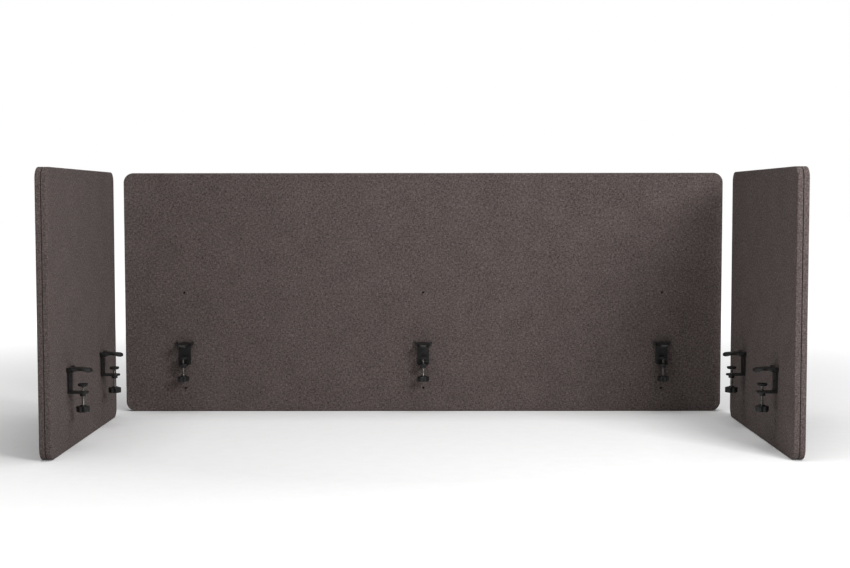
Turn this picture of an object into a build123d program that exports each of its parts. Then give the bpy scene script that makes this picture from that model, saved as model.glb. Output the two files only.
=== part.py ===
"""Desk privacy panel set: one back panel and two side panels, held on a desk top by seven screw clamps.

Frame, in millimetres: +X right, +Y away from the user, +Z up. The origin is on the desk-top plane, at the
middle of the desk's rear edge, where the heel of the middle back clamp rests.
Each panel and its clamps are drawn in an edge frame: x along the desk edge, y outward from the desk, z up,
with y = 0 on the desk's edge. PANELS holds the turn that puts that frame on the rear, left or right edge.
"""

import os

from build123d import *

INCH = 25.4

# ---- desk the set is made for ----
DESK_WIDTH = 60 * INCH
DESK_DEPTH = 30 * INCH
DESK_THICKNESS = 25.0

# ---- panels ----
BACK_LENGTH = 60 * INCH
SIDE_LENGTH = 24 * INCH
PANEL_HEIGHT = 24 * INCH
PANEL_THICKNESS = INCH
PANEL_BELOW_DESK = 168.0
CORNER_RADIUS = 25.0
FABRIC = 0.8  # thickness of the woven cover
CORE_THICKNESS = 2.0  # stiff sheet between the two halves, seen as the dark line round the edge
CORE_INSET = 3.0  # depth of that groove
SOFT_EDGE = 2.5  # rounding of each half's outer edge

# ---- threaded inserts, M6 ----
INSERT_BORE_R = 2.5
INSERT_BARREL_R = 4.2
INSERT_FLANGE_R = 7.0
INSERT_FLANGE_T = 1.0
INSERT_LENGTH = 10.0
SEAT_GAP = 0.02
COVER_HOLE_R = 3.0
UPPER_ROW_Z = 137.0  # half way up the panel
CLAMP_ROW_Z = -20.0
LOWER_ROW_Z = -108.0

# ---- clamp lines along each edge: 6 in from the ends of the panel ----
CLAMP_END_MARGIN = 6 * INCH
BACK_STATIONS = {
    "left": CLAMP_END_MARGIN - BACK_LENGTH / 2,
    "middle": 0.0,
    "right": BACK_LENGTH / 2 - CLAMP_END_MARGIN,
}
SIDE_STATION = SIDE_LENGTH / 2 - CLAMP_END_MARGIN

# ---- clamp frame: one bent steel strap, 4 mm thick ----
EDGE_GAP = 6.0  # desk edge to panel face
STRAP_T = 4.0
STRAP_WIDTH = 30.0
TONGUE_WIDTH = 22.0
TONGUE_REACH = 27.0
TONGUE_TOP = 9.0
ARM_TOP = -42.0
ARM_WIDTH = 26.0
BEND_R = 3.0
SCREW_REACH = 24.0  # clamp screw axis, in from the desk edge
BOSS_R = 7.0
BOSS_HEIGHT = 6.0

# ---- jaw moulded over the strap's tongue ----
JAW_REACH = 45.0
JAW_BODY_HALF = 16.0
JAW_HALF_WIDTH = 23.0
JAW_TOP = 11.5
JAW_HEEL = 7.0
EAR_TOP = 12.0
EAR_DEPTH = 8.0
RUBBER_T = 1.0
ARCH_RISE = 4.0

# ---- swivel pad, clamp screw and knob ----
PAD_R = 11.0
PAD_T = 6.0
BALL_R = 2.8
BALL_DROP = 3.6  # ball centre below the pad's face
NECK_R = 1.6
NECK_HOLE_R = 2.0
ROD_R = 2.95
ROD_GAP = 0.05
KNOB_TOP = -72.0
KNOB_HUB_R = 6.5
KNOB_HUB_H = 2.5
KNOB_R = 15.0
KNOB_HEIGHT = 12.5
LOBES = 6
LOBE_R = 4.4
KNOB_SOCKET = 13.0

# ---- panel screw: M6 countersunk ----
HEAD_R = 5.6
HEAD_DEPTH = 2.8
SHANK_R = 2.45
SHANK_END_Y = 15.0
PLATE_HOLE_R = 3.2
HEX_KEY = 4.0

# ---- derived ----
FACE_Y = EDGE_GAP
HALF_T = (PANEL_THICKNESS - CORE_THICKNESS) / 2
FRONT_MID_Y = FACE_Y + HALF_T
REAR_MID_Y = FRONT_MID_Y + CORE_THICKNESS
BACK_FACE_Y = FACE_Y + PANEL_THICKNESS
PANEL_MID_Z = PANEL_HEIGHT / 2 - PANEL_BELOW_DESK
STRAP_FACE_Y = FACE_Y - STRAP_T
ARM_BOTTOM = ARM_TOP - STRAP_T
PAD_TOP = -DESK_THICKNESS
BALL_Z = PAD_TOP - BALL_DROP

# each panel: its length, its clamp stations, and the place of its desk edge
PANELS = {
    "back": (BACK_LENGTH, BACK_STATIONS, Location((0, 0, 0))),
    "left": (
        SIDE_LENGTH,
        {"front": -SIDE_STATION, "rear": SIDE_STATION},
        Location((-DESK_WIDTH / 2, -DESK_DEPTH / 2, 0), (0, 0, 90)),
    ),
    "right": (
        SIDE_LENGTH,
        {"front": SIDE_STATION, "rear": -SIDE_STATION},
        Location((DESK_WIDTH / 2, -DESK_DEPTH / 2, 0), (0, 0, -90)),
    ),
}


def plate(length, inset, y_near, y_far):
    """An upright board with rounded corners, inset all round from the panel's outline."""
    plane = Plane(origin=(0, y_near, PANEL_MID_Z), x_dir=(1, 0, 0), z_dir=(0, 1, 0))
    outline = RectangleRounded(length - 2 * inset, PANEL_HEIGHT - 2 * inset, CORNER_RADIUS - inset)
    return extrude(plane * outline, y_far - y_near)


def soften(board, face_y, radius):
    """Rounds the edge round the face that lies at face_y."""
    edges = [e for e in board.edges() if abs(e.bounding_box().min.Y - face_y) < 1e-4
             and abs(e.bounding_box().max.Y - face_y) < 1e-4]
    return fillet(edges, radius)


def bar_y(radius, y_near, y_far, x=0.0, z=0.0):
    """A round bar along y."""
    plane = Plane(origin=(x, y_near, z), x_dir=(1, 0, 0), z_dir=(0, 1, 0))
    return extrude(plane * Circle(radius), y_far - y_near)


def bar_z(radius, z_low, z_high, x=0.0, y=0.0):
    """A round bar along z."""
    return Pos(x, y, z_low) * extrude(Circle(radius), z_high - z_low)


def insert_sites(stations):
    """Every insert of a panel: one on each clamp line, in each of the three rows."""
    return [(x, z) for x in stations.values() for z in (UPPER_ROW_Z, CLAMP_ROW_Z, LOWER_ROW_Z)]


# ---- panel pieces ----


def core_sheet(length):
    return plate(length, CORE_INSET, FRONT_MID_Y, REAR_MID_Y)


def front_board(length, sites):
    board = soften(plate(length, FABRIC, FACE_Y + FABRIC, FRONT_MID_Y), FACE_Y + FABRIC, SOFT_EDGE - FABRIC)
    y_flange = FACE_Y + FABRIC
    for x, z in sites:
        board -= bar_y(INSERT_FLANGE_R + SEAT_GAP, y_flange, y_flange + INSERT_FLANGE_T, x, z)
        board -= bar_y(INSERT_BARREL_R + SEAT_GAP, y_flange, FRONT_MID_Y, x, z)
    return board


def rear_board(length):
    board = plate(length, FABRIC, REAR_MID_Y, BACK_FACE_Y - FABRIC)
    return soften(board, BACK_FACE_Y - FABRIC, SOFT_EDGE - FABRIC)


def front_cover(length, sites):
    cover = soften(plate(length, 0, FACE_Y, FRONT_MID_Y), FACE_Y, SOFT_EDGE)
    cover -= soften(plate(length, FABRIC, FACE_Y + FABRIC, FRONT_MID_Y), FACE_Y + FABRIC, SOFT_EDGE - FABRIC)
    for x, z in sites:
        cover -= bar_y(COVER_HOLE_R, FACE_Y, FACE_Y + FABRIC, x, z)
    return cover


def rear_cover(length):
    cover = soften(plate(length, 0, REAR_MID_Y, BACK_FACE_Y), BACK_FACE_Y, SOFT_EDGE)
    return cover - rear_board(length)


def insert(x, z):
    y = FACE_Y + FABRIC
    body = bar_y(INSERT_FLANGE_R, y, y + INSERT_FLANGE_T, x, z)
    body += bar_y(INSERT_BARREL_R, y + INSERT_FLANGE_T, y + INSERT_LENGTH, x, z)
    return body - bar_y(INSERT_BORE_R, y, y + INSERT_LENGTH, x, z)


def panel_screw(x):
    """Countersunk screw through the clamp's strap into the insert behind it."""
    y = STRAP_FACE_Y + 0.2
    plane = Plane(origin=(x, y, CLAMP_ROW_Z), x_dir=(1, 0, 0), z_dir=(0, 1, 0))
    head = extrude(plane * Circle(HEAD_R), HEAD_DEPTH, taper=45)
    shank = bar_y(SHANK_R, y + 1.0, SHANK_END_Y, x, CLAMP_ROW_Z)
    socket = extrude(plane * RegularPolygon(HEX_KEY / 2, 6, major_radius=False), 2.0)
    return head + shank - socket


# ---- clamp pieces, drawn on the middle of an edge ----


def clamp_frame():
    """Steel strap: tongue over the desk, back against the panel, arm with the screw boss under the desk."""
    back_height = TONGUE_TOP - ARM_BOTTOM
    back_mid = (TONGUE_TOP + ARM_BOTTOM) / 2
    back = Pos(0, (FACE_Y + STRAP_FACE_Y) / 2, back_mid) * Box(STRAP_WIDTH, STRAP_T, back_height)
    tongue_plan = Pos(0, FACE_Y - (FACE_Y + TONGUE_REACH) / 2) * RectangleRounded(
        TONGUE_WIDTH, FACE_Y + TONGUE_REACH, STRAP_T - 0.5
    )
    tongue = Pos(0, 0, TONGUE_TOP - STRAP_T) * extrude(tongue_plan, STRAP_T)
    arm_plan = Pos(0, FACE_Y - (FACE_Y + SCREW_REACH) / 2) * Rectangle(ARM_WIDTH, FACE_Y + SCREW_REACH)
    arm_plan += Pos(0, -SCREW_REACH) * Circle(ARM_WIDTH / 2)
    arm = Pos(0, 0, ARM_BOTTOM) * extrude(arm_plan, STRAP_T)
    strap = back + tongue + arm
    strap += bar_z(BOSS_R, ARM_BOTTOM - BOSS_HEIGHT, ARM_BOTTOM, 0, -SCREW_REACH)
    inner_bend = [e for e in strap.edges() if abs(e.center().Y - STRAP_FACE_Y) < 0.1
                  and abs(e.center().Z - ARM_TOP) < 0.1 and e.length > TONGUE_WIDTH]
    outer_bends = [e for e in strap.edges() if abs(e.center().Y - FACE_Y) < 0.1 and e.length > TONGUE_WIDTH
                   and (abs(e.center().Z - ARM_BOTTOM) < 0.1 or abs(e.center().Z - TONGUE_TOP) < 0.1)]
    strap = fillet(inner_bend, BEND_R)
    strap = fillet([e for e in strap.edges() if any((e.center() - o.center()).length < 0.1
                                                    for o in outer_bends)], BEND_R)
    strap -= bar_z(ROD_R + ROD_GAP, ARM_BOTTOM - BOSS_HEIGHT, ARM_TOP, 0, -SCREW_REACH)
    strap -= bar_y(PLATE_HOLE_R, STRAP_FACE_Y, FACE_Y, 0, CLAMP_ROW_Z)
    sink = Plane(origin=(0, STRAP_FACE_Y, CLAMP_ROW_Z), x_dir=(1, 0, 0), z_dir=(0, 1, 0))
    return strap - extrude(sink * Circle(HEAD_R + 0.4), HEAD_DEPTH, taper=45)


def jaw_profile():
    """Side outline of the claw, as (y, z): heel at the panel, arch, and toe out over the desk."""
    top = Spline(
        (FACE_Y, TONGUE_TOP + 0.5),
        (-10, JAW_TOP),
        (-30, JAW_TOP - 2.5),
        (-JAW_REACH, 3.4),
        tangents=[(-1, 0.35), (-0.5, -1)],
    )
    arch = ThreePointArc((-35, RUBBER_T), (-21, ARCH_RISE), (-JAW_HEEL, RUBBER_T))
    outline = [
        top,
        Line((-JAW_REACH, 3.4), (-JAW_REACH, RUBBER_T)),
        Line((-JAW_REACH, RUBBER_T), (-35, RUBBER_T)),
        arch,
        Line((-JAW_HEEL, RUBBER_T), (FACE_Y, RUBBER_T)),
        Line((FACE_Y, RUBBER_T), (FACE_Y, TONGUE_TOP + 0.5)),
    ]
    return make_face(outline)


def jaw_plan():
    """Plan outline of the claw: straight heel, slight waist, rounded nose."""
    half = JAW_BODY_HALF
    right = Spline(
        (half, -JAW_HEEL),
        (half - 1.6, -17),
        (half - 1.0, -30),
        (half - 6, -41),
        (0, -JAW_REACH),
        tangents=[(-0.2, -1), (-1, 0)],
    )
    side = Line((half, FACE_Y), (half, -JAW_HEEL))
    back = Line((0, FACE_Y), (half, FACE_Y))
    centre = Line((0, -JAW_REACH), (0, FACE_Y))
    half_face = make_face([back, side, right, centre])
    return half_face + mirror(half_face, about=Plane.YZ)


def jaw_ear():
    """One upright ear at the end of the heel, drawn from the front and carried back to the panel."""
    points = [
        (JAW_BODY_HALF - 4, RUBBER_T),
        (JAW_HALF_WIDTH - 2.2, RUBBER_T),
        (JAW_HALF_WIDTH - 0.6, 6.0),
        (JAW_HALF_WIDTH, EAR_TOP - 1.0),
        (JAW_HALF_WIDTH - 1.2, EAR_TOP),
        (JAW_HALF_WIDTH - 3.6, EAR_TOP - 0.6),
        (JAW_BODY_HALF - 0.5, 8.4),
        (JAW_BODY_HALF - 4, 8.4),
    ]
    plane = Plane(origin=(0, FACE_Y, 0), x_dir=(1, 0, 0), z_dir=(0, -1, 0))
    return extrude(plane * make_face(Polyline(points, close=True)), EAR_DEPTH)


def jaw_crown():
    """The claw's section from the front: a low crown between upright flanks."""
    flank = JAW_TOP - 4.0
    half = JAW_BODY_HALF
    crown = ThreePointArc((half, flank), (0, JAW_TOP), (-half, flank))
    sides = Polyline((-half, flank), (-half, 0), (half, 0), (half, flank))
    return make_face([crown, sides])


def clamp_jaw(strap):
    side = Plane(origin=(-JAW_HALF_WIDTH, 0, 0), x_dir=(0, 1, 0), z_dir=(1, 0, 0))
    front = Plane(origin=(0, FACE_Y, 0), x_dir=(1, 0, 0), z_dir=(0, -1, 0))
    body = extrude(side * jaw_profile(), 2 * JAW_HALF_WIDTH) & extrude(jaw_plan(), JAW_TOP + 2)
    body = body & extrude(front * jaw_crown(), FACE_Y + JAW_REACH)
    ear = jaw_ear()
    ear = fillet([e for e in ear.edges().filter_by(Axis.Y) if e.center().X > JAW_HALF_WIDTH - 4], 0.5)
    jaw = body + ear + mirror(ear, about=Plane.YZ)
    return jaw - strap


def jaw_rubbers():
    """Heel and toe pads of one jaw: the faces that rest on the desk."""
    heel = Pos(0, (STRAP_FACE_Y - 0.5 - JAW_HEEL) / 2, RUBBER_T / 2) * Box(
        2 * JAW_BODY_HALF - 3, STRAP_FACE_Y - 0.5 + JAW_HEEL, RUBBER_T
    )
    toe = Pos(0, -39.0) * extrude(RectangleRounded(18, 7, 2.5), RUBBER_T)
    return [heel, toe]


def clamp_pad():
    pad = bar_z(PAD_R, PAD_TOP - PAD_T, PAD_TOP)
    pad = fillet(pad.edges().sort_by(Axis.Z)[-1], 0.8)
    pad = chamfer(pad.edges().sort_by(Axis.Z)[0], 2.2)
    pad -= Pos(0, 0, BALL_Z) * Sphere(BALL_R + ROD_GAP)
    pad -= bar_z(NECK_HOLE_R, PAD_TOP - PAD_T, BALL_Z)
    return Pos(0, -SCREW_REACH, 0) * pad


def clamp_rod():
    shoulder = PAD_TOP - PAD_T - 0.6
    rod = bar_z(ROD_R, KNOB_TOP - KNOB_SOCKET, shoulder)
    rod = chamfer(rod.edges().sort_by(Axis.Z)[-1], 0.8)
    rod += bar_z(NECK_R, shoulder - 0.5, BALL_Z)
    rod += Pos(0, 0, BALL_Z) * Sphere(BALL_R)
    return Pos(0, -SCREW_REACH, 0) * rod


def clamp_knob():
    plan = Circle(KNOB_R - LOBE_R + 0.6)
    for place_on in PolarLocations(KNOB_R - LOBE_R, LOBES):
        plan += place_on * Circle(LOBE_R)
    plan = fillet(plan.vertices(), 1.6)
    low = KNOB_TOP - KNOB_HUB_H - KNOB_HEIGHT
    knob = Pos(0, 0, low) * extrude(plan, KNOB_HEIGHT)
    rim = [e for e in knob.edges() if abs(e.center().Z - low) < 0.1
           or abs(e.center().Z - low - KNOB_HEIGHT) < 0.1]
    knob = fillet(rim, 1.4)
    knob += bar_z(KNOB_HUB_R, low + KNOB_HEIGHT, KNOB_TOP)
    knob -= bar_z(ROD_R, KNOB_TOP - KNOB_SOCKET, KNOB_TOP)
    return Pos(0, -SCREW_REACH, 0) * knob


# ---- writing ----


def write(node, solids, edge):
    """Puts a node's solids on their desk edge and writes them as one STEP file."""
    placed = [edge * s for s in solids]
    shape = placed[0] if len(placed) == 1 else Compound(children=placed)
    export_step(shape, f"parts/{node}.step")


def build_panel(name, length, stations, edge):
    sites = insert_sites(stations)
    write(f"{name}_core_sheet", [core_sheet(length)], edge)
    write(f"{name}_front_board", [front_board(length, sites)], edge)
    write(f"{name}_rear_board", [rear_board(length)], edge)
    write(f"{name}_front_cover", [front_cover(length, sites)], edge)
    write(f"{name}_rear_cover", [rear_cover(length)], edge)
    write(f"{name}_threaded_inserts", [insert(x, z) for x, z in sites], edge)
    write(f"{name}_clamp_screws", [panel_screw(x) for x in stations.values()], edge)
    rubbers = [Pos(x, 0, 0) * piece for x in stations.values() for piece in jaw_rubbers()]
    write(f"{name}_jaw_rubbers", rubbers, edge)


def build_clamps(name, stations, edge):
    strap = clamp_frame()
    pieces = {
        "frame": strap,
        "jaw": clamp_jaw(strap),
        "pad": clamp_pad(),
        "rod": clamp_rod(),
        "knob": clamp_knob(),
    }
    for station, x in stations.items():
        for piece, solid in pieces.items():
            write(f"{name}_{station}_clamp_{piece}", [Pos(x, 0, 0) * solid], edge)


def main():
    os.makedirs("parts", exist_ok=True)
    for name, (length, stations, edge) in PANELS.items():
        build_panel(name, length, stations, edge)
        build_clamps(name, stations, edge)


main()
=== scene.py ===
"""Looks of the desk privacy panel set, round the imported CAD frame. Metres, +X right, +Y away, +Z up."""

import math

import bpy
import numpy as np
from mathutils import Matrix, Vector


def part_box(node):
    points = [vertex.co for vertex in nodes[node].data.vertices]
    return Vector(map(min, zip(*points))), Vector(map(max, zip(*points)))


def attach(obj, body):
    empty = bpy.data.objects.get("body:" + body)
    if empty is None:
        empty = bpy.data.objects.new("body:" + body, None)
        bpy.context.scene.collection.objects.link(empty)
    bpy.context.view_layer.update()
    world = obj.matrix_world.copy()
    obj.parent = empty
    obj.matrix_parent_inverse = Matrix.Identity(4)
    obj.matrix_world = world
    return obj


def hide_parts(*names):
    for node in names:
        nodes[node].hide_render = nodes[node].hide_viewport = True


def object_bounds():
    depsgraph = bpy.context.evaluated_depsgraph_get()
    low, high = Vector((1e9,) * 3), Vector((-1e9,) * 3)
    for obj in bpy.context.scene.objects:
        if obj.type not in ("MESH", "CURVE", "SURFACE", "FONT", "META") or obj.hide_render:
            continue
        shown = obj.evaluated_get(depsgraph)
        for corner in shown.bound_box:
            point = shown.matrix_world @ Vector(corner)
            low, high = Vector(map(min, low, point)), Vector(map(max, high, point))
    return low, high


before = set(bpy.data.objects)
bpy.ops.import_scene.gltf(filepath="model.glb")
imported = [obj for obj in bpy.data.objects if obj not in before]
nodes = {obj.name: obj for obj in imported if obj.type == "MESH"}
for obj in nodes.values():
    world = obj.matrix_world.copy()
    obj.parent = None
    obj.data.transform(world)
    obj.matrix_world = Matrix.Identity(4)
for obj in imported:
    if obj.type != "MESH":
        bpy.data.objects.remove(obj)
CAD_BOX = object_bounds()

MM = 0.001
SEED = 7

# ---- panel cover: outline and section ----
HALF_T = 11.7 * MM  # one padded half, face to seam
CORNER_R = 25 * MM
FACE_EDGE_R = 2.6 * MM  # soft edge round the face
SEAM_EDGE_R = 1.0 * MM  # turn of the cloth into the seam
SEAM_LIP = 0.32 * MM  # how far the turned cloth stands into the seam
LIP_LENGTH = 1.8 * MM
BAND_CROWN = 0.18 * MM  # how much fuller the band is halfway down
EDGE_STEPS = 5  # cells round each soft edge
CLOTH_T = 0.3 * MM

# ---- panel cover: grid and insert holes ----
CORNER_ARC = CORNER_R - FACE_EDGE_R  # the face's own corner, inside its soft edge
GRID_STEP = 9 * MM
CORNER_CELLS = 8
EYE_HALF = 8 * MM  # square patch of the grid that each insert hole replaces
EYE_CELLS = 8
EYE_RINGS = (  # inward to the hole: share of the way from square to round, radius and dip in mm
    (0.35, 6.5, 0.0),
    (0.7, 5.4, 0.03),
    (1.0, 4.4, 0.08),
    (1.0, 3.7, 0.16),
    (1.0, 3.2, 0.3),
    (1.0, 2.9, 0.46),
)

# ---- panel cover: lie of the stretched cloth ----
PUFF = 0.35 * MM  # swell of the padding just inside the soft edge
PUFF_IN = 11 * MM  # its crest, in from the outline, and its spread
PUFF_SETTLE = 0.3  # share of the swell by which the whole face settles
FACE_SINK = 0.1 * MM
FACE_FADE = 1.5 * MM  # depth over which the face's unevenness ends at the soft edge
EDGE_CALM = 6 * MM  # strip along the outline where it ends
EYE_CALM = 12 * MM  # ring round each insert's flange where it ends
RIPPLE = 0.18 * MM  # unevenness of the stretched cloth
RIPPLE_WAVES = (0.09, 0.13, 0.19, 0.26, 0.41)
DENT = 0.15 * MM  # how far a clamp presses the cloth in
DENT_HALF_W = 24 * MM
DENT_HALF_H = 32 * MM
DENT_RISE = 2 * MM  # middle of the dent above the clamp's screw
DENT_FADE = 9 * MM
BAND_SLACK = 0.12 * MM  # unevenness of the band
BAND_FINER = 1.7  # its ripples, against those of the face
PLEAT = 0.16 * MM  # small pleats round the corners, towards the seam
PLEAT_TURN = 2.1  # radians from one rim point to the next, so that the pleats differ
PLEAT_TOP = 0.75 * HALF_T  # height above the seam where they end

# ---- turned pieces ----
PITCH = 1.0 * MM
GAP = 0.05 * MM  # play between a turned piece and what it holds
AXIS_R = 0.05 * MM  # a turned piece closes in a tiny ring round its axis
ROD_R = 2.95 * MM
THREAD_DEPTH = 0.55 * MM
THREAD_ROWS = 6  # rows of points in each turn
THREAD_RUNOUT = 1.2 * MM  # where the thread fades at the rod's two ends
SHOULDER_DROP = 3.6 * MM  # end of the thread below the middle of the pad
NECK_R = 1.6 * MM
NECK_TOP = 0.82  # where the neck meets the ball, in ball radii below its centre
BALL_R = 2.8 * MM
BALL_DROP = 3.6 * MM  # ball centre below the pad's face

# ---- star knob ----
KNOB_R = 15 * MM
KNOB_LOBES = 6
KNOB_HOLLOW = 0.845  # radius of the hollows between the lobes, as a share of the lobes'
KNOB_LOBE_IN = 8.5 * MM  # radius where the lobes begin to part
KNOB_EDGE_R = 1.5 * MM
KNOB_DISH = 0.9 * MM  # depth of the underside at its middle
KNOB_DISC_R = 3.7 * MM  # flat disc there, sunk a little into the dish
KNOB_HUB_H = 2.5 * MM
KNOB_HUB_R = 6.5 * MM
KNOB_HUB_EDGE_R = 0.8 * MM

# ---- swivel pad ----
PAD_EDGE_R = 0.8 * MM
PAD_MOUTH_R = 2.3 * MM  # opening round the neck
PAD_FOOT_IN = 2.6 * MM  # the cone's foot, in from the pad's rim
PAD_CONE_H = 2.5 * MM
PAD_LINE = 0.3 * MM  # depth of the line between cup and rubber face
PAD_RINGS = (8.6 * MM, 6.2 * MM, 3.8 * MM)  # radii of the grooves in the face
PAD_GROOVE_TOP = 0.55 * MM  # half a groove's width at the face
PAD_GROOVE = 0.4 * MM  # a groove's depth, and half its width at the bottom

# ---- threaded insert ----
INSERT_DEPTH = 10 * MM
INSERT_FLANGE_R = 7 * MM
INSERT_FLANGE_T = 1.0 * MM
INSERT_BORE_R = 2.5 * MM
INSERT_THREAD = 0.4 * MM
INSERT_THREAD_ROWS = 5  # rows of points in each turn
BARREL_R = 4.15 * MM
BARREL_GROOVE_R = 3.8 * MM
BARREL_GROOVES = 5
BARREL_GROOVE_PITCH = 1.5 * MM

PANELS = {  # direction of each panel's edge, and outward from the desk
    "back": (Vector((1, 0, 0)), Vector((0, 1, 0))),
    "left": (Vector((0, 1, 0)), Vector((-1, 0, 0))),
    "right": (Vector((0, -1, 0)), Vector((1, 0, 0))),
}
UP = Vector((0, 0, 1))
CLAMPS = sorted(n[: -len("_clamp_frame")] for n in nodes if n.endswith("_clamp_frame"))


# ---------------------------------------------------------------- places from the frame


def centre(node):
    lo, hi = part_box(node)
    return (lo + hi) / 2


def panel_clamps(panel):
    return [c for c in CLAMPS if c.startswith(panel + "_")]


def insert_rows(panel):
    """Heights of a panel's three rows of inserts. The clamps' screws are in the middle one."""
    lo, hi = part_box(f"{panel}_threaded_inserts")
    return lo.z + INSERT_FLANGE_R, centre(f"{panel}_clamp_screws").z, hi.z - INSERT_FLANGE_R


# ---------------------------------------------------------------- mesh helpers


def new_piece(name, verts, faces):
    mesh = bpy.data.meshes.new(name)
    mesh.from_pydata([tuple(v) for v in verts], [], [tuple(f) for f in faces])
    mesh.validate()
    mesh.update()
    mesh.shade_smooth()
    obj = bpy.data.objects.new(name, mesh)
    bpy.context.scene.collection.objects.link(obj)
    return obj


def sharpen(obj, degrees):
    """Smooth shading that keeps edges sharper than the angle."""
    obj.data.set_sharp_from_angle(angle=math.radians(degrees))


def between(low, high):
    """Faces between two closed rings of equal count."""
    count = len(low)
    return [(low[k], low[(k + 1) % count], high[(k + 1) % count], high[k]) for k in range(count)]


def skin(rings, closed_ends=True):
    """Faces of a tube through rings of equal count, with a flat face over each end if it is closed."""
    faces = []
    for low, high in zip(rings[:-1], rings[1:]):
        faces += between(low, high)
    if closed_ends:
        faces.append(tuple(reversed(rings[0])))
        faces.append(tuple(rings[-1]))
    return faces


def lathe(name, profile, origin, segments=48, radius_of=None):
    """A turned piece: profile is (radius, height) from one end to the other.

    radius_of(r, z, angle) may shape it further.
    """
    verts, rings = [], []
    for r, z in profile:
        ring = []
        for k in range(segments):
            a = 2 * math.pi * k / segments
            rr = radius_of(r, z, a) if radius_of else r
            ring.append(len(verts))
            verts.append(origin + Vector((rr * math.cos(a), rr * math.sin(a), z)))
        rings.append(ring)
    return new_piece(name, verts, skin(rings))


def arc_points(cx, cz, r, a0, a1, count):
    """Points of an arc in a profile, angles in degrees."""
    step = [math.radians(a0 + (a1 - a0) * k / (count - 1)) for k in range(count)]
    return [(cx + r * math.cos(a), cz + r * math.sin(a)) for a in step]


def ripple(u, v, seed):
    """Smooth unevenness in -1..1, from a few waves with seeded directions."""
    rng = np.random.default_rng(seed)
    total = np.zeros_like(u)
    for wave in RIPPLE_WAVES:
        angle, phase = rng.uniform(0, 2 * math.pi, 2)
        total += np.sin(2 * math.pi * (u * math.cos(angle) + v * math.sin(angle)) / wave + phase)
    return total / len(RIPPLE_WAVES)


# ---------------------------------------------------------------- panel covers


def lines_for(half, sites):
    """Grid lines across a face from -half to half: fine in the corners and round each hole, even between."""
    fixed = [
        np.linspace(-half, -half + CORNER_ARC, CORNER_CELLS + 1),
        np.linspace(half - CORNER_ARC, half, CORNER_CELLS + 1),
    ]
    fixed += [np.linspace(s - EYE_HALF, s + EYE_HALF, EYE_CELLS + 1) for s in sites]
    fixed.sort(key=lambda block: block[0])
    lines = list(fixed[0])
    for block in fixed[1:]:
        gap = block[0] - lines[-1]
        cells = max(1, round(gap / GRID_STEP))
        lines += list(np.linspace(lines[-1], block[0], cells + 1)[1:])
        lines += list(block[1:])
    return np.array(lines)


def round_corners(s, t, half_s, half_t):
    """Bends the square corners of a grid into arcs."""
    x = np.clip((np.abs(s) - (half_s - CORNER_ARC)) / CORNER_ARC, 0, 1)
    y = np.clip((np.abs(t) - (half_t - CORNER_ARC)) / CORNER_ARC, 0, 1)
    both = (x > 0) & (y > 0)
    rx = np.where(both, x * np.sqrt(1 - y * y / 2), x)
    ry = np.where(both, y * np.sqrt(1 - x * x / 2), y)
    s_new = np.where(x > 0, np.sign(s) * (half_s - CORNER_ARC + rx * CORNER_ARC), s)
    t_new = np.where(y > 0, np.sign(t) * (half_t - CORNER_ARC + ry * CORNER_ARC), t)
    return s_new, t_new


def edge_distance(s, t, length, height):
    """Distance in from the rounded outline of a panel."""
    dx = np.abs(s) - (length / 2 - CORNER_R)
    dy = np.abs(t) - (height / 2 - CORNER_R)
    outside = np.hypot(np.maximum(dx, 0), np.maximum(dy, 0)) + np.minimum(np.maximum(dx, dy), 0)
    return CORNER_R - outside


def edge_profile():
    """Section round the edge, outward from the face.

    Each point is its inset from the outline, its height above the seam, and the length of cloth to it.
    """
    points = []
    for k in range(1, EDGE_STEPS + 1):
        a = math.radians(90 * k / EDGE_STEPS)
        points.append((FACE_EDGE_R * (1 - math.sin(a)), HALF_T - FACE_EDGE_R * (1 - math.cos(a))))
    top, low = HALF_T - FACE_EDGE_R, SEAM_EDGE_R - SEAM_LIP
    for k in range(1, EDGE_STEPS):
        f = k / EDGE_STEPS
        points.append((BAND_CROWN * (1 - math.sin(math.pi * f)), top + (low - top) * f))
    for k in range(EDGE_STEPS + 1):
        a = math.radians(90 * k / EDGE_STEPS)
        points.append((SEAM_EDGE_R * (1 - math.cos(a)), low - SEAM_EDGE_R * math.sin(a)))
    points.append((SEAM_EDGE_R + LIP_LENGTH, -SEAM_LIP))
    run, out, last = 0.0, [], (FACE_EDGE_R, HALF_T)
    for p in points:
        run += math.dist(p, last)
        out.append((*p, run))
        last = p
    return out


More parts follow.
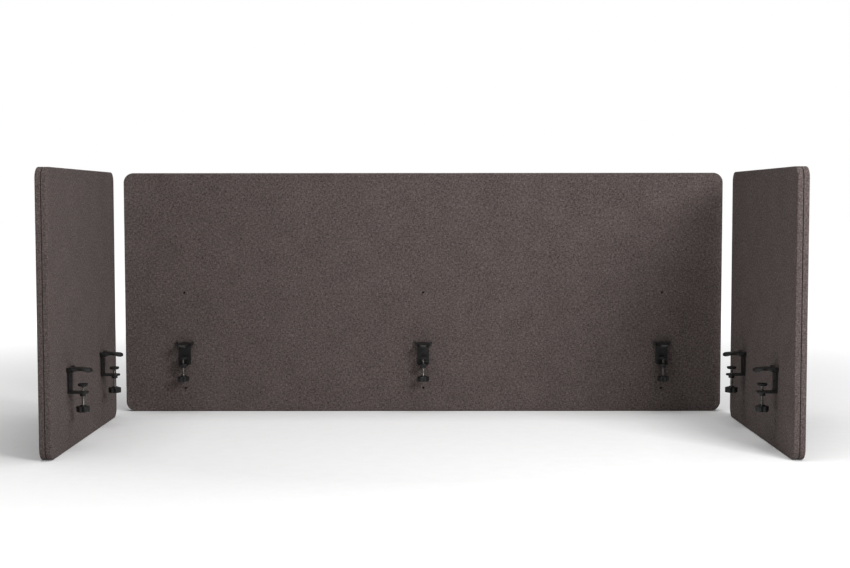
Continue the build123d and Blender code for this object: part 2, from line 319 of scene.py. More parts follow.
class Sheet:
    """The points and faces of one cover, seen from outside: s along the panel, t up, w out from the seam."""

    def __init__(self, length, height, stations, rows):
        self.length, self.height = length, height
        self.stations, self.rows = stations, rows
        self.local = []  # (s, t, w) of each point
        self.flat = []  # where it lies in the cloth before it is stretched
        self.faces = []
        self.add_face_and_eyes()
        self.add_edge()

    def add(self, s, t, w, flat=None):
        """Adds a point and returns its number."""
        self.local.append((s, t, w))
        self.flat.append((*(flat or (s, t)), 0.0))
        return len(self.local) - 1

    def add_face_and_eyes(self):
        half_s, half_t = self.length / 2 - FACE_EDGE_R, self.height / 2 - FACE_EDGE_R
        s_lines, t_lines = lines_for(half_s, self.stations), lines_for(half_t, self.rows)
        grid_s, grid_t = np.meshgrid(s_lines, t_lines, indexing="ij")
        flat_s, flat_t = round_corners(grid_s, grid_t, half_s, half_t)
        n_s, n_t = flat_s.shape
        number = [[self.add(flat_s[i, j], flat_t[i, j], HALF_T) for j in range(n_t)] for i in range(n_s)]

        gone, eyes = set(), []
        for s0 in self.stations:
            for t0 in self.rows:
                i0 = int(np.argmin(np.abs(s_lines - (s0 - EYE_HALF))))
                j0 = int(np.argmin(np.abs(t_lines - (t0 - EYE_HALF))))
                gone |= {(i0 + a, j0 + b) for a in range(EYE_CELLS) for b in range(EYE_CELLS)}
                patch = [row[j0 : j0 + EYE_CELLS + 1] for row in number[i0 : i0 + EYE_CELLS + 1]]
                eyes.append((s0, t0, self.outline(patch)))
        self.faces += [
            (number[i][j], number[i + 1][j], number[i + 1][j + 1], number[i][j + 1])
            for i in range(n_s - 1)
            for j in range(n_t - 1)
            if (i, j) not in gone
        ]
        for s0, t0, loop in eyes:
            self.add_eye(s0, t0, loop)
        self.rim = self.outline(number)

    @staticmethod
    def outline(patch):
        """The numbers round a patch of the grid, once round from its first corner."""
        first, last = patch[0], patch[-1]
        loop = [row[0] for row in patch[:-1]] + last[:-1]
        return loop + [row[-1] for row in patch[:0:-1]] + first[:0:-1]

    def add_eye(self, s0, t0, loop):
        """Fills a square patch with rings that lead down to the hole over an insert."""
        angles = [math.atan2(self.local[k][1] - t0, self.local[k][0] - s0) for k in loop]
        square = [self.local[k] for k in loop]
        last = loop
        for mix, r, dip in EYE_RINGS:
            ring = []
            for a, (qs, qt, _) in zip(angles, square):
                cs, ct = s0 + r * MM * math.cos(a), t0 + r * MM * math.sin(a)
                ring.append(self.add(qs + (cs - qs) * mix, qt + (ct - qt) * mix, HALF_T - dip * MM))
            self.faces += between(last, ring)
            last = ring

    def add_edge(self):
        """Leads the rim of the face round the soft edge, down the band and into the seam."""
        corner_s, corner_t = self.length / 2 - CORNER_R, self.height / 2 - CORNER_R
        base, normals, turns = [], [], []
        for k in self.rim:
            s, t, _ = self.local[k]
            d = Vector((s - max(-corner_s, min(corner_s, s)), t - max(-corner_t, min(corner_t, t))))
            turns.append(min(abs(d.x), abs(d.y)) / max(d.length, 1e-9))
            normals.append(d.normalized())
            base.append(Vector((s, t)))
        last = self.rim
        for inset, w, run in edge_profile():
            ring = []
            for k, (b, normal, turn) in enumerate(zip(base, normals, turns)):
                pleat = PLEAT * turn * math.sin(k * PLEAT_TURN) * max(0.0, 1 - w / PLEAT_TOP)
                p = b + normal * (FACE_EDGE_R - inset - abs(pleat))
                ring.append(self.add(p.x, p.y, w, flat=tuple(b + normal * run)))
            self.faces += between(ring, last)
            last = ring

    def stretched(self, seed):
        """s, t and w of all points, as the cloth lies when it is stretched over the padding."""
        s, t, w = np.array(self.local).T
        inward = edge_distance(s, t, self.length, self.height)
        on_face = np.clip((w - (HALF_T - FACE_FADE)) / FACE_FADE, 0, 1)
        swell = PUFF * np.exp(-(((inward - PUFF_IN) / PUFF_IN) ** 2)) - PUFF * PUFF_SETTLE
        calm = np.clip(inward / EDGE_CALM, 0, 1)
        press = np.zeros_like(s)
        for s0 in self.stations:
            for t0 in self.rows:
                calm = calm * np.clip((np.hypot(s - s0, t - t0) - INSERT_FLANGE_R) / EYE_CALM, 0, 1)
            middle = self.rows[1] + DENT_RISE
            near_s = np.clip(1 - (np.abs(s - s0) - DENT_HALF_W) / DENT_FADE, 0, 1)
            near_t = np.clip(1 - (np.abs(t - middle) - DENT_HALF_H) / DENT_FADE, 0, 1)
            press = np.maximum(press, near_s * near_t)
        press = press * press * (3 - 2 * press)
        lift = (swell + RIPPLE * ripple(s, t, seed) - FACE_SINK) * on_face * calm
        w = w + (lift * (1 - press) - DENT * press * on_face)

        on_band = (w > 0) & (w < HALF_T - 1 * MM)
        slack = BAND_SLACK * (1 + ripple(s * BAND_FINER, t * BAND_FINER, seed + 5)) * on_band
        far = np.maximum(np.hypot(s, t), 1e-6)
        return s - slack * s / far, t - slack * t / far, w


def cover(panel, half):
    """The cloth of one padded half: face, soft edge, band and the turn into the seam, one thick sheet."""
    node = f"{panel}_{half}_cover"
    edge_dir, outward = PANELS[panel]
    out = -outward if half == "front" else outward
    along = edge_dir if half == "front" else -edge_dir
    lo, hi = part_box(node)
    size = hi - lo
    length, height = abs(size.dot(edge_dir)), size.z
    seam_centre = (lo + hi) / 2 - out * (abs(size.dot(outward)) / 2)

    stations, rows = [], []
    if half == "front":
        stations = sorted((centre(f"{c}_clamp_frame") - seam_centre).dot(along) for c in panel_clamps(panel))
        rows = [z - seam_centre.z for z in insert_rows(panel)]
    sheet = Sheet(length, height, stations, rows)
    seed = SEED + 10 * list(PANELS).index(panel) + (half == "rear")
    places = zip(*sheet.stretched(seed))
    world = [seam_centre + along * float(s) + UP * float(t) + out * float(w) for s, t, w in places]

    obj = new_piece(f"{panel}_{half}_cloth", world, sheet.faces)
    attribute = obj.data.attributes.new("cloth", "FLOAT_VECTOR", "POINT")
    attribute.data.foreach_set("vector", np.array(sheet.flat, np.float32).ravel())
    shell = obj.modifiers.new("thickness", "SOLIDIFY")
    shell.thickness = CLOTH_T
    shell.offset = -1
    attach(obj, f"{panel}_panel")
    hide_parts(node)
    turned = edge_profile()[-1][2] - FACE_EDGE_R
    return obj


# ---------------------------------------------------------------- clamp screw, knob, pad and inserts


def thread_wave(z, angle):
    """Height of a right-handed thread in 0..1, a ridge with its crest and root cut flat."""
    phase = (z / PITCH - angle / (2 * math.pi)) % 1
    ridge = 1 - abs(2 * phase - 1)
    return min(1.0, max(0.0, 1.25 * ridge - 0.1))


def screw_axis(node):
    """The point at height 0 that a clamp's rod, knob and pad turn about."""
    c = centre(node)
    return Vector((c.x, c.y, 0))


def clamp_rod(clamp):
    lo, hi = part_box(f"{clamp}_clamp_rod")
    axis = screw_axis(f"{clamp}_clamp_rod")
    ball_z = hi.z - BALL_R
    shoulder = centre(f"{clamp}_clamp_pad").z - SHOULDER_DROP
    rows = int((shoulder - lo.z) / PITCH * THREAD_ROWS)
    heights = [lo.z + (shoulder - lo.z) * k / rows for k in range(rows + 1)]
    root = ROD_R - THREAD_DEPTH

    def threaded(r, z, a):
        if r < ROD_R - 1e-6:
            return r
        fade = min(1.0, (shoulder - z) / THREAD_RUNOUT, (z - lo.z) / THREAD_RUNOUT)
        return root + THREAD_DEPTH * thread_wave(z, a) * max(0.0, fade)

    profile = [(AXIS_R, lo.z)] + [(ROD_R, z) for z in heights]
    profile += [(NECK_R, shoulder + 0.1 * MM), (NECK_R, ball_z - BALL_R * NECK_TOP)]
    profile += arc_points(0, ball_z, BALL_R, -50, 88, 12)
    obj = lathe(f"{clamp}_screw_rod", profile, axis, segments=20, radius_of=threaded)
    sharpen(obj, 60)
    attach(obj, f"{clamp}_screw")
    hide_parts(f"{clamp}_clamp_rod")
    return obj


def lobed(r, z, angle):
    """Outline of the star knob, at any height: lobes and hollows, which fade out towards its hub."""
    swing = 0.5 + 0.5 * math.cos(KNOB_LOBES * angle)
    star = r * (KNOB_HOLLOW + (1 - KNOB_HOLLOW) * swing ** 0.8)
    share = max(0.0, min(1.0, (r - KNOB_LOBE_IN) / (KNOB_R - KNOB_LOBE_IN)))
    return r + (star - r) * share ** 0.7


def clamp_knob(clamp):
    """Star knob with a dished underside, a hub on top, and a socket that the rod stands in."""
    lo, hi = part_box(f"{clamp}_clamp_knob")
    axis = screw_axis(f"{clamp}_clamp_knob")
    bottom, top = lo.z, hi.z - KNOB_HUB_H
    dish = bottom + KNOB_DISH
    edge, hub_edge = KNOB_EDGE_R, KNOB_HUB_EDGE_R
    profile = [(AXIS_R, dish), (KNOB_DISC_R - 0.3 * MM, dish), (KNOB_DISC_R, dish - 0.3 * MM)]
    profile += [(8.0 * MM, dish - 0.35 * MM), (9.2 * MM, bottom + 0.25 * MM), (10.4 * MM, bottom)]
    profile += arc_points(KNOB_R - edge, bottom + edge, edge, -90, 0, 6)
    profile += [(KNOB_R, bottom + f * (top - bottom)) for f in (0.3, 0.5, 0.7)]
    profile += arc_points(KNOB_R - edge, top - edge, edge, 0, 90, 6)
    profile += [(10.2 * MM, top), (8.6 * MM, top - 0.1 * MM)]
    profile += [(KNOB_HUB_R + 0.7 * MM, top + 0.1 * MM), (KNOB_HUB_R, top + 0.9 * MM)]
    profile += arc_points(KNOB_HUB_R - hub_edge, hi.z - hub_edge, hub_edge, 0, 90, 5)
    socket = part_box(f"{clamp}_clamp_rod")[0].z - GAP
    bore = ROD_R + GAP
    profile += [(bore + 0.5 * MM, hi.z), (bore, hi.z - 0.5 * MM), (bore, socket), (AXIS_R, socket)]
    obj = lathe(f"{clamp}_star_knob", profile, axis, segments=96, radius_of=lobed)
    sharpen(obj, 50)
    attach(obj, f"{clamp}_screw")
    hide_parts(f"{clamp}_clamp_knob")
    return obj


def clamp_pad(clamp):
    """Swivel pad: moulded rubber face with three rings over a coned cup that holds the ball."""
    lo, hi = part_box(f"{clamp}_clamp_pad")
    axis = screw_axis(f"{clamp}_clamp_pad")
    outer = (hi.x - lo.x) / 2
    foot, face = lo.z, hi.z
    profile = arc_points(0, face - BALL_DROP, BALL_R + GAP, 88, -48, 10)
    profile += [(PAD_MOUTH_R - 0.25 * MM, foot + 0.2 * MM), (PAD_MOUTH_R, foot)]
    profile += [(outer - PAD_FOOT_IN, foot), (outer - PAD_FOOT_IN + 0.4 * MM, foot + 0.2 * MM)]
    profile += [(outer - 0.25 * MM, foot + PAD_CONE_H - 0.4 * MM), (outer, foot + PAD_CONE_H)]
    profile += [(outer, face - 2.4 * MM), (outer - PAD_LINE, face - 2.25 * MM)]
    profile += [(outer - PAD_LINE, face - 2.0 * MM), (outer, face - 1.85 * MM)]
    profile += arc_points(outer - PAD_EDGE_R, face - PAD_EDGE_R, PAD_EDGE_R, 0, 90, 5)
    for r in PAD_RINGS:
        profile += [(r + PAD_GROOVE_TOP, face), (r + PAD_GROOVE, face - PAD_GROOVE)]
        profile += [(r - PAD_GROOVE, face - PAD_GROOVE), (r - PAD_GROOVE_TOP, face)]
    profile += [(AXIS_R, face)]
    obj = lathe(f"{clamp}_swivel_pad", profile, axis, segments=56)
    sharpen(obj, 45)
    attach(obj, f"{clamp}_pad")
    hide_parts(f"{clamp}_clamp_pad")
    return obj


def insert_profile():
    """Bore and outside of an insert, as rings of (threaded, radius, depth)."""
    rows = int((INSERT_DEPTH - 1.2 * MM) / PITCH * INSERT_THREAD_ROWS)
    bore = [INSERT_DEPTH - (INSERT_DEPTH - 0.6 * MM) * k / rows for k in range(rows + 1)]
    outside = [(INSERT_BORE_R + 0.5 * MM, 0.0), (INSERT_FLANGE_R - 0.4 * MM, 0.0)]
    outside += [(INSERT_FLANGE_R, 0.3 * MM), (INSERT_FLANGE_R, INSERT_FLANGE_T)]
    outside += [(BARREL_R, INSERT_FLANGE_T), (BARREL_R, INSERT_FLANGE_T + 0.2 * MM)]
    for k in range(BARREL_GROOVES):
        y = 2.2 * MM + BARREL_GROOVE_PITCH * k
        outside += [(BARREL_R, y), (BARREL_GROOVE_R, y + 0.3 * MM)]
        outside += [(BARREL_GROOVE_R, y + 0.7 * MM), (BARREL_R, y + 1.0 * MM)]
    outside += [(BARREL_R - 0.2 * MM, INSERT_DEPTH)]
    threaded = [(y < INSERT_DEPTH - 0.5 * MM, INSERT_BORE_R, y) for y in bore]
    return threaded + [(False, r, y) for r, y in outside]


def insert_ring(panel, position, segments=24):
    """A threaded insert, turned about the panel's outward direction, with the thread cut in its bore."""
    along, out = PANELS[panel]
    verts, rings = [], []
    for threaded, r, y in insert_profile():
        ring = []
        for k in range(segments):
            a = 2 * math.pi * k / segments
            rr = r + INSERT_THREAD * thread_wave(y, a) if threaded else r
            ring.append(len(verts))
            verts.append(position + along * (rr * math.cos(a)) + UP * (rr * math.sin(a)) + out * y)
        rings.append(ring)
    rings.append(rings[0])
    return verts, skin(rings, closed_ends=False)


def inserts(panel):
    """All the threaded inserts of one panel, in three rows at its clamps."""
    node = f"{panel}_threaded_inserts"
    lo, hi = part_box(node)
    edge_dir, outward = PANELS[panel]
    front = min(lo.dot(outward), hi.dot(outward))
    verts, faces = [], []
    for clamp in panel_clamps(panel):
        place = centre(f"{clamp}_clamp_frame")
        for z in insert_rows(panel):
            spot = edge_dir * place.dot(edge_dir) + outward * front + UP * z
            v, f = insert_ring(panel, spot)
            faces += [tuple(i + len(verts) for i in face) for face in f]
            verts += v
    obj = new_piece(f"{panel}_insert_nuts", verts, faces)
    sharpen(obj, 35)
    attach(obj, f"{panel}_panel")
    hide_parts(node)
    return obj


# ---------------------------------------------------------------- material helpers


EDGE_TURN_BEGINS, EDGE_TURN_FULL = 0.995, 0.86  # cosine of the turn that a rounded edge would give the surface


class Graph:
    """A small shorthand for building node trees."""

    def __init__(self, name):
        self.material = bpy.data.materials.new(name)
        self.material.use_nodes = True
        self.tree = self.material.node_tree
        self.shader = self.tree.nodes["Principled BSDF"]

    def node(self, kind, **settings):
        made = self.tree.nodes.new(kind)
        for key, value in settings.items():
            setattr(made, key, value)
        return made

    def feed(self, socket, value):
        """Links an output to a socket, or sets the socket to a number; None leaves it alone."""
        if isinstance(value, bpy.types.NodeSocket):
            self.tree.links.new(value, socket)
        elif value is not None:
            socket.default_value = value

    def math(self, operation, a, b=None, c=None):
        n = self.node("ShaderNodeMath", operation=operation)
        for socket, value in zip(n.inputs, (a, b, c)):
            self.feed(socket, value)
        return n.outputs[0]

    def mix(self, share, a, b):
        n = self.node("ShaderNodeMix", data_type="RGBA")
        self.feed(n.inputs["Factor"], share)
        self.feed(n.inputs["A"], a)
        self.feed(n.inputs["B"], b)
        return n.outputs["Result"]

    def combine(self, x, y, z):
        n = self.node("ShaderNodeCombineXYZ")
        for socket, value in zip(n.inputs, (x, y, z)):
            self.feed(socket, value)
        return n.outputs[0]

    def noise(self, vector, scale, detail=2.0, rough=0.5):
        n = self.node("ShaderNodeTexNoise")
        self.feed(n.inputs["Vector"], vector)
        n.inputs["Scale"].default_value = scale
        n.inputs["Detail"].default_value = detail
        n.inputs["Roughness"].default_value = rough
        return n.outputs["Fac"]

    def ramp(self, value, low, high, to_low=0.0, to_high=1.0):
        """Takes low..high to to_low..to_high, and stops at both ends."""
        n = self.node("ShaderNodeMapRange", clamp=True)
        self.feed(n.inputs["Value"], value)
        for key, v in (("From Min", low), ("From Max", high), ("To Min", to_low), ("To Max", to_high)):
            n.inputs[key].default_value = v
        return n.outputs["Result"]

    def scaled(self, vector, factors):
        n = self.node("ShaderNodeVectorMath", operation="MULTIPLY")
        self.feed(n.inputs[0], vector)
        n.inputs[1].default_value = factors
        return n.outputs[0]

    def coordinates(self):
        return self.node("ShaderNodeTexCoord").outputs["Object"]

    def bump(self, height, distance, strength):
        n = self.node("ShaderNodeBump")
        n.inputs["Distance"].default_value = distance
        n.inputs["Strength"].default_value = strength
        self.feed(n.inputs["Height"], height)
        return n.outputs["Normal"]

    def edge_wear_and_highlight(self, radius):
        """1 near sharp edges, 0 elsewhere: a mask for real edge wear, and on the jaws for a painted
        highlight.
        """
        n = self.node("ShaderNodeBevel", samples=6)
        n.inputs["Radius"].default_value = radius
        geometry = self.node("ShaderNodeNewGeometry")
        dot = self.node("ShaderNodeVectorMath", operation="DOT_PRODUCT")
        self.feed(dot.inputs[0], n.outputs[0])
        self.feed(dot.inputs[1], geometry.outputs["Normal"])
        return self.ramp(dot.outputs["Value"], EDGE_TURN_BEGINS, EDGE_TURN_FULL)

    def finish(self, color, rough, normal=None, **fixed):
        """Feeds the shader; fixed holds the inputs that are the same all over, set on its own sockets."""
        self.feed(self.shader.inputs["Base Color"], color)
        self.feed(self.shader.inputs["Roughness"], rough)
        self.feed(self.shader.inputs["Normal"], normal)
        for key, value in fixed.items():
            self.shader.inputs[key.replace("_", " ")].default_value = value
        return self.material


def rgb(r, g, b):
    return (r, g, b, 1.0)


# ---------------------------------------------------------------- materials

YARN = 1.05 * MM  # pitch of the plain weave
YARN_WANDER = 0.9 * MM  # how far yarns stray from a straight line
YARN_RELIEF = 0.3 * MM
ROW_SPREAD = 17.31  # keeps the noise of neighbouring yarns apart
LONG_SLUB, SHORT_SLUB = 0.16, 0.55  # changes of tone along a yarn, for each yarn that it crosses
LONG_SHARE, SHORT_SHARE = 0.62, 0.38
DARK_YARN = rgb(0.034, 0.025, 0.024)
MID_YARN = rgb(0.114, 0.090, 0.085)
LIGHT_YARN = rgb(0.240, 0.198, 0.188)
FLECK = 0.48  # how strongly the flecks across several yarns show
FLECK_GRAINS = ((330.0, 150.0, 1.0), (150.0, 330.0, 1.0))  # one set along each direction of yarn
CLOUD = 0.12  # how strongly the cloth changes tone over a hand's breadth
FLOOR_PLAIN = 0.9  # the floor begins to glow this far from the origin
FLOOR_LIT = 3.0  # and glows fully from here
FLOOR_GLOW = 0.9


def woven_polyester():
    """Plain weave of heathered yarn: fibres spun together, so each yarn changes tone along its length."""
    g = Graph("woven_polyester")
    place = g.node("ShaderNodeAttribute", attribute_name="cloth").outputs["Vector"]
    wobble = g.node("ShaderNodeTexNoise")
    wobble.inputs["Scale"].default_value = 70
    g.feed(wobble.inputs["Vector"], place)
    shift = g.node("ShaderNodeVectorMath", operation="MULTIPLY_ADD")
    g.feed(shift.inputs[0], wobble.outputs["Color"])
    shift.inputs[1].default_value = (YARN_WANDER, YARN_WANDER, 0)
    g.feed(shift.inputs[2], place)
    split = g.node("ShaderNodeSeparateXYZ")
    g.feed(split.inputs[0], shift.outputs[0])
    u = g.math("DIVIDE", split.outputs["X"], YARN)
    v = g.math("DIVIDE", split.outputs["Y"], YARN)
    su = g.math("SINE", g.math("MULTIPLY", u, math.pi))
    sv = g.math("SINE", g.math("MULTIPLY", v, math.pi))
    crossing = g.math("MULTIPLY", g.math("MULTIPLY", su, sv), 0.5)
    warp_h = g.math("MULTIPLY_ADD", g.math("ABSOLUTE", su), 0.5, crossing)
    weft_h = g.math("SUBTRACT", g.math("MULTIPLY", g.math("ABSOLUTE", sv), 0.5), crossing)
    height = g.math("MAXIMUM", warp_h, weft_h)
    warp_up = g.ramp(g.math("SUBTRACT", warp_h, weft_h), -0.05, 0.05)

    def yarn_tone(lane, run, seed):
        """Tone along one yarn: its own number picks the row of noise that it follows."""
        row = g.math("MULTIPLY", g.math("FLOOR", lane), ROW_SPREAD)
        long_slub = g.noise(g.combine(row, g.math("MULTIPLY", run, LONG_SLUB), seed), 1.0, 2.0, 0.6)
        short_slub = g.noise(g.combine(row, g.math("MULTIPLY", run, SHORT_SLUB), seed + 9.0), 1.0, 1.0)
        long_part = g.math("MULTIPLY", long_slub, LONG_SHARE)
        return g.math("ADD", long_part, g.math("MULTIPLY", short_slub, SHORT_SHARE))

    tone_node = g.node("ShaderNodeMix")
    g.feed(tone_node.inputs["Factor"], warp_up)
    g.feed(tone_node.inputs["A"], yarn_tone(v, u, 3.0))
    g.feed(tone_node.inputs["B"], yarn_tone(u, v, 40.0))
    tone = tone_node.outputs["Result"]
    for stretch in FLECK_GRAINS:
        fleck = g.noise(g.scaled(place, stretch), 1.0, 2.0, 0.6)
        tone = g.math("ADD", tone, g.math("MULTIPLY", g.math("SUBTRACT", fleck, 0.5), FLECK))
    cloud = g.noise(place, 14.0, 3.0, 0.6)
    tone = g.math("ADD", tone, g.math("MULTIPLY", g.math("SUBTRACT", cloud, 0.5), CLOUD))
    dark = g.mix(g.ramp(tone, 0.27, 0.50), DARK_YARN, MID_YARN)
    color = g.mix(g.ramp(tone, 0.50, 0.76), dark, LIGHT_YARN)
    shade = g.ramp(height, 0.05, 0.7, 0.38, 1.0)
    crevice = g.node("ShaderNodeMix", data_type="RGBA", blend_type="MULTIPLY")
    crevice.inputs["Factor"].default_value = 1.0
    g.feed(crevice.inputs["A"], color)
    g.feed(crevice.inputs["B"], g.combine(shade, shade, shade))
    fibre = g.noise(place, 5200.0, 2.0, 0.7)
    relief = g.math("ADD", height, g.math("MULTIPLY", fibre, 0.25))
    normal = g.bump(relief, YARN_RELIEF, 0.8)
    rough = g.ramp(fibre, 0.2, 0.8, 0.82, 0.98)
    return g.finish(
        crevice.outputs["Result"],
        rough,
        normal,
        Specular_IOR_Level=0.08,
        Sheen_Weight=0.03,
        Sheen_Roughness=0.6,
        Sheen_Tint=rgb(0.8, 0.74, 0.72),
    )


def felt():
    """Pressed polyester felt of the boards."""
    g = Graph("acoustic_felt")
    place = g.coordinates()
    fibre = g.noise(place, 900.0, 4.0, 0.75)
    clump = g.noise(place, 90.0, 3.0, 0.6)
    tone = g.math("ADD", g.math("MULTIPLY", fibre, 0.6), g.math("MULTIPLY", clump, 0.4))
    color = g.mix(g.ramp(tone, 0.35, 0.65), rgb(0.028, 0.026, 0.025), rgb(0.085, 0.08, 0.078))
    rough = g.ramp(fibre, 0.2, 0.8, 0.88, 1.0)
    return g.finish(color, rough, g.bump(fibre, 0.5 * MM, 0.8), Sheen_Weight=0.3)


def core_board():
    """Dark fibre board between the halves: pressed fibres with the streaks of a sawn edge."""
    g = Graph("core_fibreboard")
    place = g.coordinates()
    fibre = g.noise(place, 700.0, 4.0, 0.7)
    saw = g.noise(g.scaled(place, (1.0, 1.0, 14.0)), 60.0, 2.0)
    tone = g.math("ADD", g.math("MULTIPLY", fibre, 0.7), g.math("MULTIPLY", saw, 0.3))
    color = g.mix(g.ramp(tone, 0.35, 0.65), rgb(0.006, 0.005, 0.005), rgb(0.02, 0.017, 0.015))
    return g.finish(color, g.ramp(fibre, 0.2, 0.8, 0.7, 0.95), g.bump(fibre, 0.2 * MM, 0.6))


def powder_coat():
    """Satin black powder coat on steel: orange peel, fine specks and paler rubbed edges."""
    g = Graph("black_powder_coat")
    place = g.coordinates()
    peel = g.noise(place, 900.0, 3.0, 0.55)
    speck = g.noise(place, 4200.0, 1.0)
    smudge = g.noise(place, 45.0, 3.0, 0.6)
    wear_and_highlight_edges = g.edge_wear_and_highlight(0.35 * MM)
    rub = g.math("MULTIPLY", wear_and_highlight_edges, g.ramp(g.noise(place, 260.0, 3.0), 0.42, 0.66))
    color = g.mix(g.ramp(speck, 0.45, 0.7), rgb(0.0055, 0.0053, 0.0052), rgb(0.013, 0.0124, 0.012))
    color = g.mix(g.math("MULTIPLY", rub, 0.5), color, rgb(0.10, 0.096, 0.09))
    rough = g.math("SUBTRACT", g.ramp(smudge, 0.3, 0.7, 0.34, 0.5), g.math("MULTIPLY", rub, 0.08))
    return g.finish(color, rough, g.bump(peel, 0.09 * MM, 0.6), Specular_IOR_Level=0.32)


def jaw_plastic():
    """Moulded black nylon with a fine spark texture, polished a little on its edges, with a painted
    highlight that lightens their colour.
    """
    g = Graph("black_nylon")
    place = g.coordinates()
    spark = g.noise(place, 2600.0, 3.0, 0.7)
    flow = g.noise(place, 55.0, 3.0, 0.55)
    wear_and_highlight_edges = g.edge_wear_and_highlight(0.2 * MM)
    color = g.mix(g.ramp(flow, 0.35, 0.65), rgb(0.0045, 0.0042, 0.004), rgb(0.009, 0.0084, 0.0081))
    # painted highlight: lighter colour along the edges, as if they caught the light; the lower roughness
    # there is the real polish
    color = g.mix(g.math("MULTIPLY", wear_and_highlight_edges, 0.35), color, rgb(0.035, 0.033, 0.032))
    rough = g.math("SUBTRACT", g.ramp(spark, 0.3, 0.7, 0.3, 0.44), g.math("MULTIPLY", wear_and_highlight_edges, 0.1))
    return g.finish(color, rough, g.bump(spark, 0.05 * MM, 0.5), Specular_IOR_Level=0.36)


def knob_plastic():
    """Black glass-filled nylon of the knobs: a little greyer and duller, with faint swirl from moulding."""
    g = Graph("knob_nylon")
    place = g.coordinates()
    grain = g.noise(place, 1900.0, 4.0, 0.7)
    swirl = g.noise(place, 120.0, 2.0, 0.5)
    wear_and_highlight_edges = g.edge_wear_and_highlight(0.8 * MM)
    color = g.mix(g.ramp(swirl, 0.35, 0.65), rgb(0.005, 0.0048, 0.0047), rgb(0.011, 0.0104, 0.0102))
    color = g.mix(g.math("MULTIPLY", wear_and_highlight_edges, 0.4), color, rgb(0.045, 0.043, 0.041))
    rough = g.ramp(grain, 0.3, 0.7, 0.34, 0.52)
    return g.finish(color, rough, g.bump(grain, 0.06 * MM, 0.6), Specular_IOR_Level=0.36)


def rubber(name, tone):
    """Moulded rubber, dull, with pale dust in places."""
    g = Graph(name)
    place = g.coordinates()
    grain = g.noise(place, 3000.0, 3.0, 0.7)
    dust = g.ramp(g.noise(place, 160.0, 4.0, 0.65), 0.5, 0.75)
    dark, light = rgb(tone * 0.7, tone * 0.68, tone * 0.66), rgb(tone, tone * 0.97, tone * 0.95)
    base = g.mix(g.ramp(grain, 0.35, 0.65), dark, light)
    color = g.mix(g.math("MULTIPLY", dust, 0.2), base, rgb(0.05, 0.048, 0.045))
    rough = g.ramp(grain, 0.3, 0.7, 0.68, 0.88)
    return g.finish(color, rough, g.bump(grain, 0.07 * MM, 0.7), Specular_IOR_Level=0.35)


def zinc_plate():
    """Bright zinc plate on the threaded rod, faintly cloudy, with fine scratches."""
    g = Graph("zinc_plate")
    place = g.coordinates()
    cloud = g.noise(place, 240.0, 4.0, 0.6)
    scratch = g.noise(place, 2600.0, 2.0, 0.6)
    color = g.mix(g.ramp(cloud, 0.3, 0.7), rgb(0.31, 0.30, 0.285), rgb(0.47, 0.46, 0.44))
    rough = g.ramp(scratch, 0.3, 0.7, 0.2, 0.38)
    return g.finish(color, rough, g.bump(scratch, 0.03 * MM, 0.5), Metallic=1.0)


def insert_steel():
    """Black zinc on the turned inserts, with tool marks."""
    g = Graph("insert_steel")
    place = g.coordinates()
    marks = g.noise(place, 1500.0, 3.0, 0.6)
    color = g.mix(g.ramp(marks, 0.3, 0.7), rgb(0.035, 0.033, 0.032), rgb(0.085, 0.082, 0.078))
    rough = g.ramp(marks, 0.3, 0.7, 0.32, 0.55)
    return g.finish(color, rough, g.bump(marks, 0.04 * MM, 0.5), Metallic=1.0)


def black_oxide():
    """Black oxide on the socket screws."""
    g = Graph("black_oxide")
    place = g.coordinates()
    grain = g.noise(place, 1800.0, 4.0, 0.7)
    wear_and_highlight_edges = g.edge_wear_and_highlight(0.25 * MM)
    color = g.mix(g.ramp(grain, 0.35, 0.65), rgb(0.016, 0.0155, 0.016), rgb(0.035, 0.034, 0.035))
    color = g.mix(g.math("MULTIPLY", wear_and_highlight_edges, 0.6), color, rgb(0.16, 0.155, 0.15))
    rough = g.ramp(grain, 0.3, 0.7, 0.3, 0.46)
    return g.finish(color, rough, g.bump(grain, 0.03 * MM, 0.5), Metallic=0.75)


def pale_floor():
    """Pale matt floor, lit from within far from the object so it has no horizon, and clear from below."""
    g = Graph("pale_floor")
    place = g.coordinates()
    grain = g.noise(place, 30.0, 3.0, 0.5)
    color = g.mix(g.ramp(grain, 0.3, 0.7), rgb(0.86, 0.86, 0.86), rgb(0.88, 0.88, 0.88))
    reach = g.node("ShaderNodeVectorMath", operation="LENGTH")
    g.feed(reach.inputs[0], place)
    glow = g.ramp(reach.outputs["Value"], FLOOR_PLAIN, FLOOR_LIT, 0.0, FLOOR_GLOW)
    g.feed(g.shader.inputs["Emission Strength"], glow)
    g.shader.inputs["Emission Color"].default_value = rgb(1, 1, 1)
    clear = g.node("ShaderNodeBsdfTransparent")
    either = g.node("ShaderNodeMixShader")
    g.feed(either.inputs[0], g.node("ShaderNodeNewGeometry").outputs["Backfacing"])
    g.tree.links.new(g.shader.outputs[0], either.inputs[1])
    g.tree.links.new(clear.outputs[0], either.inputs[2])
    g.tree.links.new(either.outputs[0], g.tree.nodes["Material Output"].inputs["Surface"])
    return g.finish(color, 0.9, None, Specular_IOR_Level=0.1)


# ---------------------------------------------------------------- dress the object


WELD_REACH = 0.002 * MM
EASE = 0.35 * MM  # rounding of the steel's and the jaws' hard edges
EASE_ANGLE = 35  # degrees


def dress(obj, material):
    """Gives a piece, or a carried-over CAD node, one material on all its slots."""
    if not obj.data.materials:
        obj.data.materials.append(material)
    for k in range(len(obj.material_slots)):
        obj.material_slots[k].material = material


def ease_edges(obj):
    """Rounds the hard edges of a CAD piece with modifiers, which leave its own mesh as it is."""
    weld = obj.modifiers.new("weld", "WELD")
    weld.merge_threshold = WELD_REACH
    bevel = obj.modifiers.new("ease", "BEVEL")
    bevel.width = EASE
    bevel.segments = 2
    bevel.limit_method = "ANGLE"
    bevel.angle_limit = math.radians(EASE_ANGLE)
    bevel.harden_normals = True


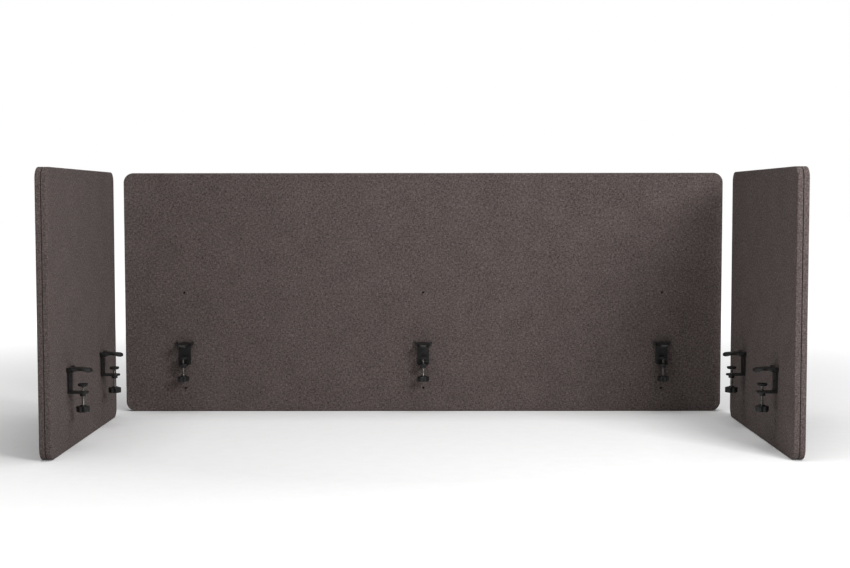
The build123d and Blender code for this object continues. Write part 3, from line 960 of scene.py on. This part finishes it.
cloth_material = woven_polyester()
rod_material = zinc_plate()
knob_material = knob_plastic()
pad_material = rubber("pad_rubber", 0.014)
insert_material = insert_steel()
CARRIED = {
    "core_sheet": core_board(),
    "front_board": felt(),
    "clamp_screws": black_oxide(),
    "jaw_rubbers": rubber("jaw_rubber", 0.03),
    "clamp_frame": powder_coat(),
    "clamp_jaw": jaw_plastic(),
}
CARRIED["rear_board"] = CARRIED["front_board"]

for panel in PANELS:
    for half in ("front", "rear"):
        dress(cover(panel, half), cloth_material)
    dress(inserts(panel), insert_material)
for clamp in CLAMPS:
    dress(clamp_rod(clamp), rod_material)
    dress(clamp_knob(clamp), knob_material)
    dress(clamp_pad(clamp), pad_material)
for name, obj in nodes.items():
    for ending, material in CARRIED.items():
        if name.endswith(ending):
            dress(obj, material)
    if name.endswith(("clamp_frame", "clamp_jaw")):
        ease_edges(obj)

# ---------------------------------------------------------------- floor, light and camera

FLOOR_HALF = 30
FLOOR_CORNERS = ((-1, -1), (1, -1), (1, 1), (-1, 1))
WHITE = (1, 1, 1, 1)
FILL = 0.15  # the white surroundings as a light; the camera sees them at full strength

lowest = CAD_BOX[0].z
floor_points = [(FLOOR_HALF * x, FLOOR_HALF * y, lowest) for x, y in FLOOR_CORNERS]
floor = new_piece("floor", floor_points, [(0, 1, 2, 3)])
dress(floor, pale_floor())


def softbox(name, place, target, size, power):
    """A white rectangular light, turned to its target, in metres and watts."""
    light = bpy.data.lights.new(name, "AREA")
    light.shape = "RECTANGLE"
    light.size, light.size_y = size
    light.energy = power
    obj = bpy.data.objects.new(name, light)
    obj.location = place
    obj.rotation_euler = (Vector(target) - Vector(place)).to_track_quat("-Z", "Y").to_euler()
    bpy.context.scene.collection.objects.link(obj)


softbox("key", (1.5, -2.25, 1.3), (0.1, -0.2, 0.1), (0.9, 0.9), 43)
softbox("overhead", (0, -0.6, 3.4), (0, -0.4, 0), (4.0, 3.0), 100)

world = bpy.data.worlds.new("studio")
bpy.context.scene.world = world
world.use_nodes = True
tree = world.node_tree
background = tree.nodes["Background"]
background.inputs["Color"].default_value = WHITE
path = tree.nodes.new("ShaderNodeLightPath")
strength = tree.nodes.new("ShaderNodeMix")
tree.links.new(path.outputs["Is Camera Ray"], strength.inputs["Factor"])
strength.inputs["A"].default_value = FILL
strength.inputs["B"].default_value = 1.0
tree.links.new(strength.outputs["Result"], background.inputs["Strength"])

LENS = 58.8  # mm
SENSOR = 36  # mm
EYE = Vector((0.012, -3.5315, 0.371))
YAW, PITCH_DOWN, ROLL = -0.002, 0.0599, 0.00075  # radians
camera_data = bpy.data.cameras.new("camera")
camera_data.lens = LENS
camera_data.sensor_width = SENSOR
camera = bpy.data.objects.new("camera", camera_data)
camera.location = EYE
camera.rotation_euler = (math.pi / 2 - PITCH_DOWN, ROLL, -YAW)
bpy.context.scene.collection.objects.link(camera)
bpy.context.scene.camera = camera
bpy.context.scene.view_settings.view_transform = "Standard"
